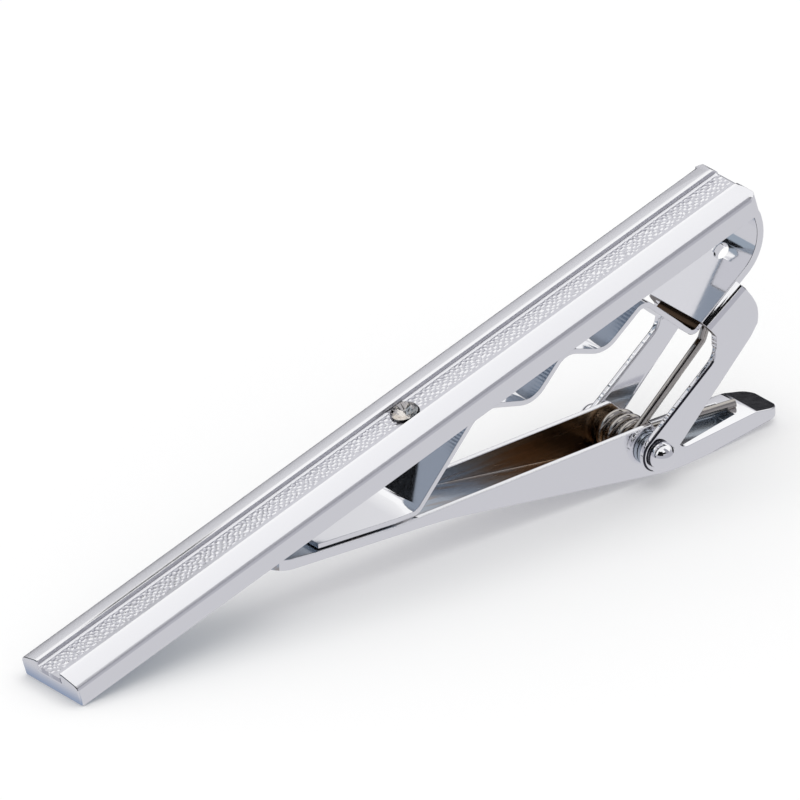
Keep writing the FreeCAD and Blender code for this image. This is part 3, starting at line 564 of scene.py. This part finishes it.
class TIECLIP_OT_wavy_jaw(bpy.types.Operator):
    """Wavy spring leaf of the upper jaw"""
    bl_idname = "tie_clip.wavy_jaw"
    bl_label = "Wavy jaw"

    def execute(self, context):
        sizes = context.scene.tie_clip_sizes
        finishes = context.scene.tie_clip_finishes
        finish = plated("nickel-chrome plate, wavy leaf", finishes.plate, 0.08, sizes.bar_tilt)
        # painted shade: the leaf's face under the plate's end drawn dark brown
        painted_shade = plated("painted shade, leaf under the plate's end", finishes.painted_brown_shade, 0.2, sizes.bar_tilt)
        pocket_start = 3.4 * MM
        shape = joined_copy("wavy_jaw")
        round_over(shape, corners(shape), 0.3 * sizes.sheet_round)
        for face in shape.faces:
            middle = face.calc_center_median() - PIN
            # painted shade from here on, under the plate's end
            if middle.x > pocket_start:
                face.material_index = 1
        leaf = settle(shape, "wavy_leaf", finish)
        leaf.data.materials.append(painted_shade)
        even_shading(leaf)
        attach(leaf, "frame")
        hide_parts("wavy_jaw")
        return {"FINISHED"}


def pad_crown(tree, axes, before):
    """The thumb pad is crowned a little from side to side."""
    pad_middle, pad_half = PIN.x + 6.1 * MM, 3.2 * MM
    crown = -0.045 / MM
    parts = add_node(tree, "ShaderNodeSeparateXYZ", None, {"Vector": axes.outputs["Vector"]})
    pad = add_node(tree, "ShaderNodeMath", {1: pad_middle, 2: pad_half}, {0: parts.outputs["X"]},
                   operation="COMPARE")
    square = add_node(tree, "ShaderNodeMath", {1: 2}, {0: parts.outputs["Y"]}, operation="POWER")
    drop = add_node(tree, "ShaderNodeMath", {1: crown}, {0: square.outputs["Value"]}, operation="MULTIPLY")
    height = add_node(tree, "ShaderNodeMath", None, {0: drop.outputs["Value"], 1: pad.outputs["Value"]},
                      operation="MULTIPLY")
    return add_node(tree, "ShaderNodeBump", {"Strength": 1, "Distance": 1},
                    {"Height": height.outputs["Value"], "Normal": before.outputs["Normal"]})


def channel_tone(tree, axes):
    """Brown near the pin, where little plate reached, and bluish steel further off, in streaks."""
    finishes = bpy.context.scene.tie_clip_finishes
    brown_middle = PIN.x - 3 * MM
    parts = add_node(tree, "ShaderNodeSeparateXYZ", None, {"Vector": axes.outputs["Vector"]})
    off = add_node(tree, "ShaderNodeMath", {1: brown_middle}, {0: parts.outputs["X"]}, operation="SUBTRACT")
    far = add_node(tree, "ShaderNodeMath", None, {0: off.outputs["Value"]}, operation="ABSOLUTE")
    share = add_node(tree, "ShaderNodeMapRange",
                     {"From Min": 2 * MM, "From Max": 9 * MM, "To Min": 1.2, "To Max": 0},
                     {"Value": far.outputs["Value"]})
    flow = add_node(tree, "ShaderNodeMapping", {"Scale": (0.04, 1, 1)}, {"Vector": axes.outputs["Vector"]})
    streaks = add_node(tree, "ShaderNodeTexNoise", {"Scale": 1 / (0.4 * MM), "Detail": 2},
                       {"Vector": flow.outputs["Vector"]})
    level = add_node(tree, "ShaderNodeMapRange",
                     {"From Min": 0.35, "From Max": 0.65, "To Min": -0.3, "To Max": 0.5},
                     {"Value": streaks.outputs["Fac"]})
    wander = add_node(tree, "ShaderNodeMath", None,
                      {0: level.outputs["Result"], 1: share.outputs["Result"]}, operation="ADD",
                      use_clamp=True)
    tone = add_node(tree, "ShaderNodeMix", {6: linear(finishes.steel), 7: linear(finishes.bare)},
                    {0: wander.outputs["Value"]}, data_type="RGBA")
    return tone.outputs[2]


class TIECLIP_OT_lever(bpy.types.Operator):
    """Channel lever with its thumb pad"""
    bl_idname = "tie_clip.lever"
    bl_label = "Lever"

    def execute(self, context):
        sizes = context.scene.tie_clip_sizes
        finishes = context.scene.tie_clip_finishes
        outside = plated("nickel-chrome plate, pressed lever", finishes.plate, 0.09, relief=pad_crown)
        # thin and unbuffed: brown and bluish streaks that blur what they mirror
        inside = plated("thin plate on steel, unbuffed channel", finishes.bare, 0.22, tone=channel_tone)
        channel_half = 1.86 * MM
        channel_end = PIN.x + 2.8 * MM
        recess_end = PIN.x + 8.3 * MM
        recess_top = 1.2 * MM
        shape = joined_copy("lever")
        round_over(shape, corners(shape), 0.8 * sizes.sheet_round)
        shape.normal_update()
        for face in shape.faces:
            middle = face.calc_center_median()
            in_channel = abs(middle.y) < channel_half and face.normal.z > -0.3
            in_recess = middle.z < recess_top and middle.x < recess_end
            if in_channel and (middle.x < channel_end or in_recess):
                face.material_index = 1
        lever = settle(shape, "pressed_lever", outside)
        lever.data.materials.append(inside)
        even_shading(lever)
        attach(lever, "lever")
        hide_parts("lever")
        return {"FINISHED"}


def spin_ring(shape):
    """Turn a profile of vertices and edges round the pin's axis into a closed ring."""
    bmesh.ops.spin(shape, geom=shape.verts[:] + shape.edges[:], cent=PIN, axis=(0, 1, 0),
                   angle=2 * math.pi, steps=64, use_merge=True)
    bmesh.ops.remove_doubles(shape, verts=shape.verts, dist=0.001 * MM)
    bmesh.ops.recalc_face_normals(shape, faces=shape.faces)


class TIECLIP_OT_pin_and_spacers(bpy.types.Operator):
    """Riveted hinge pin with ball heads, and the ring spacers on it"""
    bl_idname = "tie_clip.pin_and_spacers"
    bl_label = "Pin and spacers"

    def execute(self, context):
        sizes = context.scene.tie_clip_sizes
        finishes = context.scene.tie_clip_finishes
        head_height = sizes.neck_height + sizes.ball_radius
        shank_half = PIN.y - PIN_LOW.y - head_height
        shape = bmesh.new()
        pole = shape.verts.new(PIN + Vector((0, PIN_LOW.y - PIN.y, 0)))
        bmesh.ops.spin(shape, geom=[pole], cent=pole.co + Vector((0, sizes.ball_radius, 0)), axis=(0, 0, 1),
                       angle=math.pi / 2, steps=16)
        last = max(shape.verts, key=lambda vert: vert.co.x)
        for step in ((sizes.neck_radius - sizes.ball_radius, 0, 0), (0, sizes.neck_height, 0),
                     (sizes.pin_radius - sizes.neck_radius, 0, 0), (0, shank_half, 0)):
            last = bmesh.ops.extrude_vert_indiv(shape, verts=[last])["verts"][0]
            last.co += Vector(step)
        bmesh.ops.mirror(shape, geom=shape.verts[:] + shape.edges[:], matrix=Matrix.Translation(-PIN),
                         axis="Y", merge_dist=0.001 * MM)
        spin_ring(shape)
        for face in shape.faces:
            middle = face.calc_center_median() - PIN
            # painted shade on the neck under the ball
            if 0 < abs(middle.y) - shank_half < sizes.neck_height:
                face.material_index = 1
        finish = plated("nickel-chrome plate, riveted pin", finishes.plate, 0.06)
        pin = settle(shape, "riveted_pin", finish)
        # painted shade: a dark ring in the crease under the ball
        pin.data.materials.append(plated("nickel plate, painted shade in the pin's neck", finishes.rolled, 0.25))
        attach(pin, "frame")
        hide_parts("hinge_pin")

        # turned and left plain: bluish grey, soft mirror
        steel = plated("spacer steel, turned", finishes.steel, 0.2)
        bore = sizes.pin_radius + 0.04 * MM
        for node in ("front_spacer", "rear_spacer"):
            low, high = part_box(node)
            outer = (high.x - low.x) / 2
            shape = bmesh.new()
            middle = (PIN.x + (outer + bore) / 2, (low.y + high.y) / 2, PIN.z)
            lay = Matrix.Translation(middle) @ Matrix.Diagonal(
                ((outer - bore) / 2, (high.y - low.y) / 2, 1, 1))
            bmesh.ops.create_grid(shape, x_segments=1, y_segments=1, size=1, matrix=lay)
            bmesh.ops.delete(shape, geom=shape.faces[:], context="FACES_ONLY")
            bmesh.ops.bevel(shape, geom=shape.verts[:], offset=0.05 * MM, offset_type="OFFSET", segments=3,
                            profile=0.5, affect="VERTICES", material=-1)
            spin_ring(shape)
            spacer = settle(shape, f"{node}_ring", steel)
            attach(spacer, "frame")
            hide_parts(node)
        return {"FINISHED"}


def ring_of(geometry):
    """The vertices and edges among what an operator gives back."""
    return [item for item in geometry if isinstance(item, (bmesh.types.BMVert, bmesh.types.BMEdge))]


def draw_wire(shape, ring, way):
    """Draw the wire straight on from its open end."""
    edges = [item for item in ring if isinstance(item, bmesh.types.BMEdge)]
    grown = ring_of(bmesh.ops.extrude_edge_only(shape, edges=edges)["geom"])
    verts = [item for item in grown if isinstance(item, bmesh.types.BMVert)]
    bmesh.ops.translate(shape, verts=verts, vec=way)
    return verts + [edge for edge in grown if isinstance(edge, bmesh.types.BMEdge) and edge.is_boundary]


def bend_wire(shape, ring, corner, before, after, radius):
    """Bend the wire round a corner between two ways."""
    turn = before.angle(after)
    axis = before.cross(after).normalized()
    centre = corner - before * (radius * math.tan(turn / 2)) + axis.cross(before) * radius
    bent = bmesh.ops.spin(shape, geom=ring, cent=centre, axis=axis, angle=turn, steps=8)
    return ring_of(bent["geom_last"])


def wire_start(shape, spot, way, diameter):
    """An open ring of wire at a spot, square to its way."""
    lay = Matrix.Translation(spot) @ way.to_track_quat("Z", "Y").to_matrix().to_4x4()
    made = bmesh.ops.create_circle(shape, segments=14, radius=diameter / 2, matrix=lay)
    return made["verts"] + shape.edges[:]


def close_wire(shape):
    """Close both ends of the wire."""
    bmesh.ops.holes_fill(shape, edges=[edge for edge in shape.edges if edge.is_boundary], sides=0)
    bmesh.ops.recalc_face_normals(shape, faces=shape.faces)


class TIECLIP_OT_torsion_spring(bpy.types.Operator):
    """Wound spring round the pin, with its two arms"""
    bl_idname = "tie_clip.torsion_spring"
    bl_label = "Torsion spring"

    def execute(self, context):
        sizes = context.scene.tie_clip_sizes
        # drawn wire: a warm grey mirror with lines along it
        finish = plated("nickelled spring wire, drawn", context.scene.tie_clip_finishes.wire, 0.1)

        def on_coil(turn, across):
            return PIN + Vector((
                math.cos(turn) * sizes.coil_radius, across, math.sin(turn) * sizes.coil_radius))

        def coil_way(turn):
            return Vector((-math.sin(turn), 0, math.cos(turn)))

        # upper arm: from its seat under the bracket's plate to an elbow, then down to the coil
        upper_arm = 7.7 * MM
        upper_bend = 0.7 * MM
        seat = PIN + Vector((5.642 * MM, -sizes.coil_half, 7.677 * MM))
        down = coil_way(sizes.coil_start)
        elbow = on_coil(sizes.coil_start, -sizes.coil_half) - down * upper_arm
        out = (elbow - seat).normalized()
        trim = upper_bend * math.tan(out.angle(down) / 2)
        shape = bmesh.new()
        ring = wire_start(shape, seat, out, sizes.wire)
        ring = draw_wire(shape, ring, out * ((elbow - seat).length - trim))
        ring = bend_wire(shape, ring, elbow, out, down, upper_bend)
        ring = draw_wire(shape, ring, down * (upper_arm - trim))
        turns = sizes.coil_end - sizes.coil_start
        steps = round(turns / math.radians(12))
        bmesh.ops.spin(shape, geom=ring, cent=PIN, axis=(0, -1, 0), angle=turns, steps=steps,
                       dvec=(0, 2 * sizes.coil_half / steps, 0))
        close_wire(shape)
        coil = settle(shape, "spring_coil", finish, 60)
        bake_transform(coil)
        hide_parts("torsion_spring")

        # lower arm: straight off the coil, then along the thumb pad
        lead_length = 1.8 * MM
        lower_bend = 1.4 * MM
        coil_end = on_coil(sizes.coil_end, sizes.coil_half)
        along = coil_way(sizes.coil_end)
        lead = coil_end + along * lead_length
        tip = PIN + Vector((8.75, -0.25, -0.413)) * MM
        ahead = (tip - lead).normalized()
        trim = lower_bend * math.tan(along.angle(ahead) / 2)
        shape = bmesh.new()
        ring = wire_start(shape, coil_end, along, sizes.wire)
        ring = draw_wire(shape, ring, along * (lead_length - trim))
        ring = bend_wire(shape, ring, lead, along, ahead, lower_bend)
        draw_wire(shape, ring, ahead * ((tip - lead).length - trim))
        close_wire(shape)
        arm = settle(shape, "spring_thumb_arm", finish, 60)
        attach(arm, "lever")
        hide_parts("torsion_spring")
        return {"FINISHED"}


def stand(shape, name, finish):
    """Put a piece of the stage in place."""
    mesh = bpy.data.meshes.new(name)
    shape.to_mesh(mesh)
    shape.free()
    mesh.materials.append(finish)
    stood = bpy.data.objects.new(name, mesh)
    bpy.context.scene.collection.objects.link(stood)
    return stood


def only_mirrored(stood):
    """Let a piece of the stage be seen in metal and glass alone."""
    stood.visible_camera = False
    stood.visible_diffuse = False
    stood.visible_shadow = False


def sky_band(name, finish, radius, elevations, bearings):
    """A band of sky that the metal mirrors, between two elevations and two bearings in degrees."""
    low, high = elevations
    start, end = bearings
    shape = bmesh.new()
    foot = shape.verts.new((radius * math.cos(math.radians(low)), 0, radius * math.sin(math.radians(low))))
    bmesh.ops.spin(shape, geom=[foot], cent=(0, 0, 0), axis=(0, -1, 0), angle=math.radians(high - low),
                   steps=16)
    bmesh.ops.rotate(shape, verts=shape.verts, matrix=Matrix.Rotation(math.radians(start), 3, "Z"))
    bmesh.ops.spin(shape, geom=shape.verts[:] + shape.edges[:], cent=(0, 0, 0), axis=(0, 0, 1),
                   angle=math.radians(end - start), steps=48, use_merge=end - start == 360)
    only_mirrored(stand(shape, name, finish))


def sky_flat(name, finish, lay):
    """A flat card that the metal mirrors, two units wide before it is laid."""
    shape = bmesh.new()
    bmesh.ops.create_grid(shape, x_segments=1, y_segments=1, size=1, matrix=lay)
    only_mirrored(stand(shape, name, finish))


def lit_card(name, colour):
    """Cloth or card of one colour, lit evenly."""
    finish, tree = new_finish(name)
    glow = add_node(tree, "ShaderNodeEmission", {"Color": linear(colour)})
    add_node(tree, "ShaderNodeOutputMaterial", None, {"Surface": glow.outputs["Emission"]})
    return finish


def glowing(name, stops, axis, span):
    """Cloth or card lit evenly: greys that change along one axis, from the first stop to the last."""
    finish, tree = new_finish(name)
    place = add_node(tree, "ShaderNodeTexCoord")
    parts = add_node(tree, "ShaderNodeSeparateXYZ", None, {"Vector": place.outputs["Object"]})
    share = add_node(tree, "ShaderNodeMath", {1: span}, {0: parts.outputs[axis]}, operation="DIVIDE")
    fade = add_node(tree, "ShaderNodeValToRGB", None, {"Fac": share.outputs["Value"]})
    for stop, grey in stops[1:-1]:
        fade.color_ramp.elements.new(stop).color = linear(grey)
    for end, (stop, grey) in ((0, stops[0]), (-1, stops[-1])):
        fade.color_ramp.elements[end].position = stop
        fade.color_ramp.elements[end].color = linear(grey)
    glow = add_node(tree, "ShaderNodeEmission", None, {"Color": fade.outputs["Color"]})
    add_node(tree, "ShaderNodeOutputMaterial", None, {"Surface": glow.outputs["Emission"]})
    return finish


class TIECLIP_OT_stage(bpy.types.Operator):
    """Pale table, soft light and the camera"""
    bl_idname = "tie_clip.stage"
    bl_label = "Stage"

    def execute(self, context):
        context.scene.view_settings.view_transform = "Standard"
        self.lay_table(context.scene)
        self.hang_sheets(context.scene)
        self.light(context.scene)
        self.place_camera(context.scene)
        return {"FINISHED"}

    def lay_table(self, scene):
        """The pale table, which the metal doesn't mirror, and the cards on it that it mirrors instead."""
        finishes = scene.tie_clip_finishes
        shape = bmesh.new()
        bmesh.ops.create_grid(shape, x_segments=1, y_segments=1, size=1.5)
        # matt white with no gloss, so that only the soft shadow shows on it
        paper, tree = new_finish("coated paper, matt white")
        shader = add_node(tree, "ShaderNodeBsdfPrincipled", {
            "Base Color": linear(finishes.paper), "Roughness": 0.9, "Specular IOR Level": 0.0})
        add_node(tree, "ShaderNodeOutputMaterial", None, {"Surface": shader.outputs["BSDF"]})
        table = stand(shape, "table", paper)
        table.visible_glossy = False
        table.visible_transmission = False

        shape = bmesh.new()
        bmesh.ops.create_circle(shape, cap_ends=True, segments=48, radius=SKY_RADIUS)
        only_mirrored(stand(shape, "grey_card", lit_card("grey card, matt", finishes.card)))
        # the card darkens where the bar's free end meets it, and the end mirrors that
        corner = on_bar(scene.tie_clip_sizes).translation
        reach = 1.5 * MM
        edge = corner.x / (corner.x - reach)
        stops = ((0, finishes.shade), (edge + 0.08 * (1 - edge), finishes.shade),
                 (edge + 0.5 * (1 - edge), finishes.card), (1, finishes.card))
        lay = Matrix.Translation(corner + Vector((-reach / 2, 0, 0.02 * MM))) @ Matrix.Diagonal(
            (reach / 2, 5 * MM, 1, 1))
        sky_flat("end_shade", glowing("card in shade, blue-grey", stops, "X", corner.x - reach), lay)

    def hang_sheets(self, scene):
        """The sky and the sheets that the metal mirrors, the nearer ones on smaller radii."""
        finishes = scene.tie_clip_finishes
        # dark near the table, pale above, brightest about 45 degrees up
        greys = ((0.0, "#08080A"), (0.19, "#08080A"), (0.24, "#3A3A3E"), (0.265, "#C8C8CD"), (0.3, "#CECED3"),
                 (0.4, "#D4D4D8"), (0.5, "#FAFAFA"), (0.7, "#FFFFFF"), (0.86, "#FBFBFC"), (0.95, "#F3F3F5"),
                 (1.0, "#F2F2F4"))
        sky = glowing("studio sky, pale cloth", greys, "Z", SKY_RADIUS)
        apron = lit_card("front sheet, grey", finishes.apron)
        dark = lit_card("dark cloth, matt", finishes.cloth)
        sheet = lit_card("side sheet, grey", finishes.side)
        blue = lit_card("back sheet, blue-grey", finishes.back_sheet)
        pale = lit_card("back curtain, pale grey", finishes.curtain)
        for band in (
                ("studio_sky", sky, SKY_RADIUS, (0, 90), (0, 360)),
                ("front_sheet", apron, 0.49, (0, 30), (-175, -20)),
                ("dark_cloth", dark, 0.48, (22, 56), (-165, -113)),
                ("dark_valance", dark, 0.48, (32, 46), (-113, -82)),
                ("side_sheet", sheet, 0.48, (30, 70), (-82, -45)),
                ("back_sheet", blue, 0.48, (0, 40), (117, 178)),
                ("back_curtain", pale, 0.48, (34, 62), (100, 117)),
                ("back_rail", dark, 0.47, (14, 20), (117, 178))):
            sky_band(*band)
        # a small dark flag behind the bar, which the leaf's steep face mirrors
        place = Matrix.Translation((20.7 * MM, 22 * MM, 16.2 * MM))
        lay = on_bar(scene.tie_clip_sizes) @ place @ Matrix.Rotation(math.pi / 2, 4, "X")
        sky_flat("dark_flag", dark, lay @ Matrix.Diagonal((5 * MM, 3 * MM, 1, 1)))

    def light(self, scene):
        """One large soft lamp over the table, and a white world."""
        lamp = bpy.data.lights.new("softbox", "AREA")
        lamp.shape = "SQUARE"
        lamp.size = 1.0
        lamp.energy = 2.4
        softbox = bpy.data.objects.new("softbox", lamp)
        softbox.location = (0, 0, 0.9)
        softbox.visible_glossy = False
        scene.collection.objects.link(softbox)

        world = bpy.data.worlds.new("studio")
        world.use_nodes = True
        world.node_tree.nodes.clear()
        tree = world.node_tree
        # white where it is seen, itself or in a mirror, and a little weaker as light
        path = add_node(tree, "ShaderNodeLightPath")
        seen = add_node(tree, "ShaderNodeMath", None,
                        {0: path.outputs["Is Camera Ray"], 1: path.outputs["Is Glossy Ray"]}, operation="ADD")
        seen = add_node(tree, "ShaderNodeMath", None,
                        {0: seen.outputs["Value"], 1: path.outputs["Is Transmission Ray"]},
                        operation="ADD", use_clamp=True)
        soft = add_node(tree, "ShaderNodeBackground", {"Color": (1, 1, 1, 1), "Strength": 0.85})
        white = add_node(tree, "ShaderNodeBackground", {"Color": (1, 1, 1, 1), "Strength": 1})
        mix = add_node(tree, "ShaderNodeMixShader", None, {
            0: seen.outputs["Value"], 1: soft.outputs["Background"], 2: white.outputs["Background"]})
        add_node(tree, "ShaderNodeOutputWorld", None, {"Surface": mix.outputs["Shader"]})
        scene.world = world

    def place_camera(self, scene):
        """A long lens from the front left, a little above the clip."""
        camera = bpy.data.cameras.new("camera")
        camera.lens = 1403
        camera.sensor_width = 36
        camera.clip_start = 0.01
        view = bpy.data.objects.new("camera", camera)
        distance = 2
        back = Vector((-0.5545, -0.691, 0.4636)).normalized()
        middle = on_bar(scene.tie_clip_sizes).translation + Vector((28.57, 0, 11.26)) * MM
        view.location = middle + back * distance
        view.rotation_mode = "QUATERNION"
        roll = Quaternion(back, math.radians(-0.7))
        view.rotation_quaternion = roll @ (-back).to_track_quat("-Z", "Y")
        scene.collection.objects.link(view)
        scene.camera = view


class TIECLIP_PT_panel(bpy.types.Panel):
    """Lists the clip's pieces in the sidebar"""
    bl_idname = "TIECLIP_PT_panel"
    bl_label = "Tie Clip"
    bl_space_type = "VIEW_3D"
    bl_region_type = "UI"
    bl_category = "Tie Clip"

    def draw(self, context):
        for operator in OPERATORS:
            self.layout.operator(operator.bl_idname)
        for group in (context.scene.tie_clip_sizes, context.scene.tie_clip_finishes):
            for name in group.bl_rna.properties.keys():
                if name not in ("rna_type", "name"):
                    self.layout.prop(group, name)


OPERATORS = (
    TIECLIP_OT_front_bar,
    TIECLIP_OT_patterned_strip,
    TIECLIP_OT_crystal,
    TIECLIP_OT_hinge_bracket,
    TIECLIP_OT_wavy_jaw,
    TIECLIP_OT_lever,
    TIECLIP_OT_pin_and_spacers,
    TIECLIP_OT_torsion_spring,
    TIECLIP_OT_stage,
)
CLASSES = (TieClipSizes, TieClipFinishes, *OPERATORS, TIECLIP_PT_panel)


def register():
    for item in CLASSES:
        bpy.utils.register_class(item)
    bpy.types.Scene.tie_clip_sizes = PointerProperty(type=TieClipSizes)
    bpy.types.Scene.tie_clip_finishes = PointerProperty(type=TieClipFinishes)


def unregister():
    del bpy.types.Scene.tie_clip_finishes
    del bpy.types.Scene.tie_clip_sizes
    for item in reversed(CLASSES):
        bpy.utils.unregister_class(item)


def main():
    register()
    bpy.ops.tie_clip.front_bar()
    bpy.ops.tie_clip.patterned_strip()
    bpy.ops.tie_clip.crystal()
    bpy.ops.tie_clip.hinge_bracket()
    bpy.ops.tie_clip.wavy_jaw()
    bpy.ops.tie_clip.lever()
    bpy.ops.tie_clip.pin_and_spacers()
    bpy.ops.tie_clip.torsion_spring()
    bpy.ops.tie_clip.stage()


if __name__ == "__main__":
    main()
